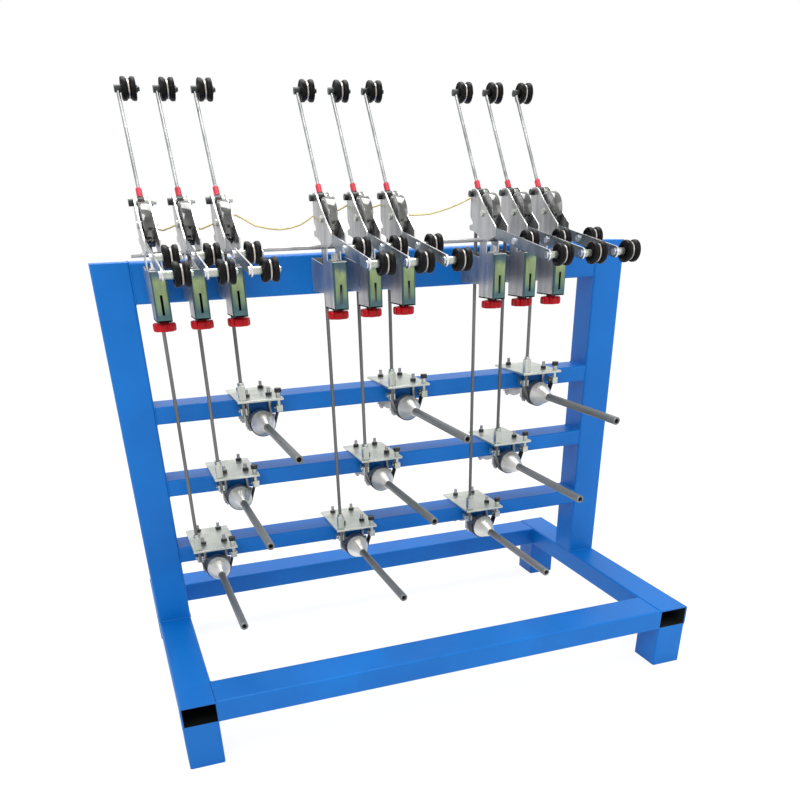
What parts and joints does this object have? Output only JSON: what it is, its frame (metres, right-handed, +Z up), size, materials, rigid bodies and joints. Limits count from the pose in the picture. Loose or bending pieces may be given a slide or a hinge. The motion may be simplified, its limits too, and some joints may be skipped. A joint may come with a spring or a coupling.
{
  "type": "wire pay-off frame",
  "caption": "Blue tube stand whose cross bars carry braked bobbin spindles, under a beam of wire tension heads with guide pulleys, dancer arms and red adjusting knobs.",
  "frame": {"origin": "centre of the stand's outline on the floor, at the bottom of the feet", "axes": "+X to the right along the beam, +Y to the back, away from the bobbin spindles' free ends, +Z up"},
  "size_m": [1.28, 0.748, 1.2986],
  "materials": {
    "blue_paint": "semi-gloss blue paint",
    "zinc": "zinc plated with a greenish tint",
    "steel": "bright steel",
    "dark_steel": "oiled dark steel",
    "strap": "dull black",
    "black_plastic": "satin black",
    "red_plastic": "glossy red",
    "wire": "yellow insulation"
  },
  "bodies": {
    "stand": {"side_rails": "blue_paint", "cross_members": "blue_paint", "posts": "blue_paint", "head_frames": "zinc", "head_pins": "steel", "mounting_brackets": "zinc", "guide_bars": "zinc", "cross_rod": "steel", "brake_plates": "zinc", "brake_rods": "steel", "bearing_housings": "zinc", "brake_bands": "strap", "signal_wire": "wire"},
    "guide_pulleys_inner": {"guide_pulleys_inner": "black_plastic"},
    "guide_pulleys_outer": {"guide_pulleys_outer": "black_plastic"},
    "arm_5": {"dancer_arm_5": "steel"},
    "top_pulley_5": {"dancer_pulley_5": "black_plastic"},
    "spindle_5": {"spindle_5": "steel"},
    "wheel_5": {"tension_wheel_5": "dark_steel"},
    "knob_5": {"tension_knob_5": "red_plastic"},
    "arm_1": {"dancer_arm_1": "steel"},
    "top_pulley_1": {"dancer_pulley_1": "black_plastic"},
    "spindle_1": {"spindle_1": "steel"},
    "wheel_1": {"tension_wheel_1": "dark_steel"},
    "knob_1": {"tension_knob_1": "red_plastic"},
    "arm_9": {"dancer_arm_9": "steel"},
    "top_pulley_9": {"dancer_pulley_9": "black_plastic"},
    "spindle_9": {"spindle_9": "steel"},
    "wheel_9": {"tension_wheel_9": "dark_steel"},
    "knob_9": {"tension_knob_9": "red_plastic"},
    "arm_2": {"dancer_arm_2": "steel"},
    "top_pulley_2": {"dancer_pulley_2": "black_plastic"},
    "arm_3": {"dancer_arm_3": "steel"},
    "top_pulley_3": {"dancer_pulley_3": "black_plastic"},
    "arm_4": {"dancer_arm_4": "steel"},
    "top_pulley_4": {"dancer_pulley_4": "black_plastic"},
    "arm_6": {"dancer_arm_6": "steel"},
    "top_pulley_6": {"dancer_pulley_6": "black_plastic"},
    "arm_7": {"dancer_arm_7": "steel"},
    "top_pulley_7": {"dancer_pulley_7": "black_plastic"},
    "arm_8": {"dancer_arm_8": "steel"},
    "top_pulley_8": {"dancer_pulley_8": "black_plastic"},
    "spindle_2": {"spindle_2": "steel"},
    "spindle_3": {"spindle_3": "steel"},
    "spindle_4": {"spindle_4": "steel"},
    "spindle_6": {"spindle_6": "steel"},
    "spindle_7": {"spindle_7": "steel"},
    "spindle_8": {"spindle_8": "steel"},
    "wheel_2": {"tension_wheel_2": "dark_steel"},
    "wheel_3": {"tension_wheel_3": "dark_steel"},
    "wheel_4": {"tension_wheel_4": "dark_steel"},
    "wheel_6": {"tension_wheel_6": "dark_steel"},
    "wheel_7": {"tension_wheel_7": "dark_steel"},
    "wheel_8": {"tension_wheel_8": "dark_steel"},
    "knob_2": {"tension_knob_2": "red_plastic"},
    "knob_3": {"tension_knob_3": "red_plastic"},
    "knob_4": {"tension_knob_4": "red_plastic"},
    "knob_6": {"tension_knob_6": "red_plastic"},
    "knob_7": {"tension_knob_7": "red_plastic"},
    "knob_8": {"tension_knob_8": "red_plastic"}
  },
  "joints": [
    {"name": "arm_5_swing", "type": "hinge", "parent": "stand", "child": "arm_5", "pos_m": [-0.083, 0.0021, 1.08201], "axis": [1, 0, 0], "range_deg": [0, 45], "stiffness_Nm_per_rad": 0.5},
    {"name": "top_pulley_5_turn", "type": "hinge", "parent": "arm_5", "child": "top_pulley_5", "pos_m": [-0.062, 0.13976, 1.27861], "axis": [1, 0, 0], "continuous": true},
    {"name": "spindle_5_turn", "type": "hinge", "parent": "stand", "child": "spindle_5", "pos_m": [-0.036, 0.041, 0.465], "axis": [0, 1, 0], "continuous": true},
    {"name": "wheel_5_turn", "type": "hinge", "parent": "stand", "child": "wheel_5", "pos_m": [-0.083, -0.04944, 1.04392], "axis": [1, 0, 0], "continuous": true},
    {"name": "knob_5_turn", "type": "hinge", "parent": "stand", "child": "knob_5", "pos_m": [-0.083, -0.07705, 0.865], "axis": [0, 0, 1], "continuous": true},
    {"name": "arm_1_swing", "type": "hinge", "parent": "stand", "child": "arm_1", "pos_m": [-0.521, 0.0021, 1.08201], "axis": [1, 0, 0], "range_deg": [0, 45], "stiffness_Nm_per_rad": 0.5},
    {"name": "top_pulley_1_turn", "type": "hinge", "parent": "arm_1", "child": "top_pulley_1", "pos_m": [-0.5, 0.13976, 1.27861], "axis": [1, 0, 0], "continuous": true},
    {"name": "spindle_1_turn", "type": "hinge", "parent": "stand", "child": "spindle_1", "pos_m": [-0.474, 0.041, 0.296], "axis": [0, 1, 0], "continuous": true},
    {"name": "wheel_1_turn", "type": "hinge", "parent": "stand", "child": "wheel_1", "pos_m": [-0.521, -0.04944, 1.04392], "axis": [1, 0, 0], "continuous": true},
    {"name": "knob_1_turn", "type": "hinge", "parent": "stand", "child": "knob_1", "pos_m": [-0.521, -0.07705, 0.865], "axis": [0, 0, 1], "continuous": true},
    {"name": "arm_9_swing", "type": "hinge", "parent": "stand", "child": "arm_9", "pos_m": [0.355, 0.0021, 1.08201], "axis": [1, 0, 0], "range_deg": [0, 45], "stiffness_Nm_per_rad": 0.5},
    {"name": "top_pulley_9_turn", "type": "hinge", "parent": "arm_9", "child": "top_pulley_9", "pos_m": [0.376, 0.13976, 1.27861], "axis": [1, 0, 0], "continuous": true},
    {"name": "spindle_9_turn", "type": "hinge", "parent": "stand", "child": "spindle_9", "pos_m": [0.402, 0.041, 0.634], "axis": [0, 1, 0], "continuous": true},
    {"name": "wheel_9_turn", "type": "hinge", "parent": "stand", "child": "wheel_9", "pos_m": [0.355, -0.04944, 1.04392], "axis": [1, 0, 0], "continuous": true},
    {"name": "knob_9_turn", "type": "hinge", "parent": "stand", "child": "knob_9", "pos_m": [0.355, -0.07705, 0.865], "axis": [0, 0, 1], "continuous": true},
    {"name": "guide_pulleys_inner_turn", "type": "hinge", "parent": "stand", "child": "guide_pulleys_inner", "pos_m": [0, -0.19737, 0.99208], "axis": [1, 0, 0], "continuous": true},
    {"name": "guide_pulleys_outer_turn", "type": "hinge", "parent": "stand", "child": "guide_pulleys_outer", "pos_m": [0, -0.33462, 0.97009], "axis": [1, 0, 0], "continuous": true},
    {"name": "arm_2_swing", "type": "hinge", "parent": "stand", "child": "arm_2", "pos_m": [-0.446, 0.0021, 1.08201], "axis": [1, 0, 0], "range_deg": [0, 45], "stiffness_Nm_per_rad": 0.5},
    {"name": "top_pulley_2_turn", "type": "hinge", "parent": "arm_2", "child": "top_pulley_2", "pos_m": [-0.425, 0.13976, 1.27861], "axis": [1, 0, 0], "continuous": true},
    {"name": "arm_3_swing", "type": "hinge", "parent": "stand", "child": "arm_3", "pos_m": [-0.371, 0.0021, 1.08201], "axis": [1, 0, 0], "range_deg": [0, 45], "stiffness_Nm_per_rad": 0.5},
    {"name": "top_pulley_3_turn", "type": "hinge", "parent": "arm_3", "child": "top_pulley_3", "pos_m": [-0.35, 0.13976, 1.27861], "axis": [1, 0, 0], "continuous": true},
    {"name": "arm_4_swing", "type": "hinge", "parent": "stand", "child": "arm_4", "pos_m": [-0.158, 0.0021, 1.08201], "axis": [1, 0, 0], "range_deg": [0, 45], "stiffness_Nm_per_rad": 0.5},
    {"name": "top_pulley_4_turn", "type": "hinge", "parent": "arm_4", "child": "top_pulley_4", "pos_m": [-0.137, 0.13976, 1.27861], "axis": [1, 0, 0], "continuous": true},
    {"name": "arm_6_swing", "type": "hinge", "parent": "stand", "child": "arm_6", "pos_m": [-0.008, 0.0021, 1.08201], "axis": [1, 0, 0], "range_deg": [0, 45], "stiffness_Nm_per_rad": 0.5},
    {"name": "top_pulley_6_turn", "type": "hinge", "parent": "arm_6", "child": "top_pulley_6", "pos_m": [0.013, 0.13976, 1.27861], "axis": [1, 0, 0], "continuous": true},
    {"name": "arm_7_swing", "type": "hinge", "parent": "stand", "child": "arm_7", "pos_m": [0.205, 0.0021, 1.08201], "axis": [1, 0, 0], "range_deg": [0, 45], "stiffness_Nm_per_rad": 0.5},
    {"name": "top_pulley_7_turn", "type": "hinge", "parent": "arm_7", "child": "top_pulley_7", "pos_m": [0.226, 0.13976, 1.27861], "axis": [1, 0, 0], "continuous": true},
    {"name": "arm_8_swing", "type": "hinge", "parent": "stand", "child": "arm_8", "pos_m": [0.28, 0.0021, 1.08201], "axis": [1, 0, 0], "range_deg": [0, 45], "stiffness_Nm_per_rad": 0.5},
    {"name": "top_pulley_8_turn", "type": "hinge", "parent": "arm_8", "child": "top_pulley_8", "pos_m": [0.301, 0.13976, 1.27861], "axis": [1, 0, 0], "continuous": true},
    {"name": "spindle_2_turn", "type": "hinge", "parent": "stand", "child": "spindle_2", "pos_m": [-0.399, 0.041, 0.465], "axis": [0, 1, 0], "continuous": true},
    {"name": "spindle_3_turn", "type": "hinge", "parent": "stand", "child": "spindle_3", "pos_m": [-0.324, 0.041, 0.634], "axis": [0, 1, 0], "continuous": true},
    {"name": "spindle_4_turn", "type": "hinge", "parent": "stand", "child": "spindle_4", "pos_m": [-0.111, 0.041, 0.296], "axis": [0, 1, 0], "continuous": true},
    {"name": "spindle_6_turn", "type": "hinge", "parent": "stand", "child": "spindle_6", "pos_m": [0.039, 0.041, 0.634], "axis": [0, 1, 0], "continuous": true},
    {"name": "spindle_7_turn", "type": "hinge", "parent": "stand", "child": "spindle_7", "pos_m": [0.252, 0.041, 0.296], "axis": [0, 1, 0], "continuous": true},
    {"name": "spindle_8_turn", "type": "hinge", "parent": "stand", "child": "spindle_8", "pos_m": [0.327, 0.041, 0.465], "axis": [0, 1, 0], "continuous": true},
    {"name": "wheel_2_turn", "type": "hinge", "parent": "stand", "child": "wheel_2", "pos_m": [-0.446, -0.04944, 1.04392], "axis": [1, 0, 0], "continuous": true},
    {"name": "wheel_3_turn", "type": "hinge", "parent": "stand", "child": "wheel_3", "pos_m": [-0.371, -0.04944, 1.04392], "axis": [1, 0, 0], "continuous": true},
    {"name": "wheel_4_turn", "type": "hinge", "parent": "stand", "child": "wheel_4", "pos_m": [-0.158, -0.04944, 1.04392], "axis": [1, 0, 0], "continuous": true},
    {"name": "wheel_6_turn", "type": "hinge", "parent": "stand", "child": "wheel_6", "pos_m": [-0.008, -0.04944, 1.04392], "axis": [1, 0, 0], "continuous": true},
    {"name": "wheel_7_turn", "type": "hinge", "parent": "stand", "child": "wheel_7", "pos_m": [0.205, -0.04944, 1.04392], "axis": [1, 0, 0], "continuous": true},
    {"name": "wheel_8_turn", "type": "hinge", "parent": "stand", "child": "wheel_8", "pos_m": [0.28, -0.04944, 1.04392], "axis": [1, 0, 0], "continuous": true},
    {"name": "knob_2_turn", "type": "hinge", "parent": "stand", "child": "knob_2", "pos_m": [-0.446, -0.07705, 0.865], "axis": [0, 0, 1], "continuous": true},
    {"name": "knob_3_turn", "type": "hinge", "parent": "stand", "child": "knob_3", "pos_m": [-0.371, -0.07705, 0.865], "axis": [0, 0, 1], "continuous": true},
    {"name": "knob_4_turn", "type": "hinge", "parent": "stand", "child": "knob_4", "pos_m": [-0.158, -0.07705, 0.865], "axis": [0, 0, 1], "continuous": true},
    {"name": "knob_6_turn", "type": "hinge", "parent": "stand", "child": "knob_6", "pos_m": [-0.008, -0.07705, 0.865], "axis": [0, 0, 1], "continuous": true},
    {"name": "knob_7_turn", "type": "hinge", "parent": "stand", "child": "knob_7", "pos_m": [0.205, -0.07705, 0.865], "axis": [0, 0, 1], "continuous": true},
    {"name": "knob_8_turn", "type": "hinge", "parent": "stand", "child": "knob_8", "pos_m": [0.28, -0.07705, 0.865], "axis": [0, 0, 1], "continuous": true}
  ]
}
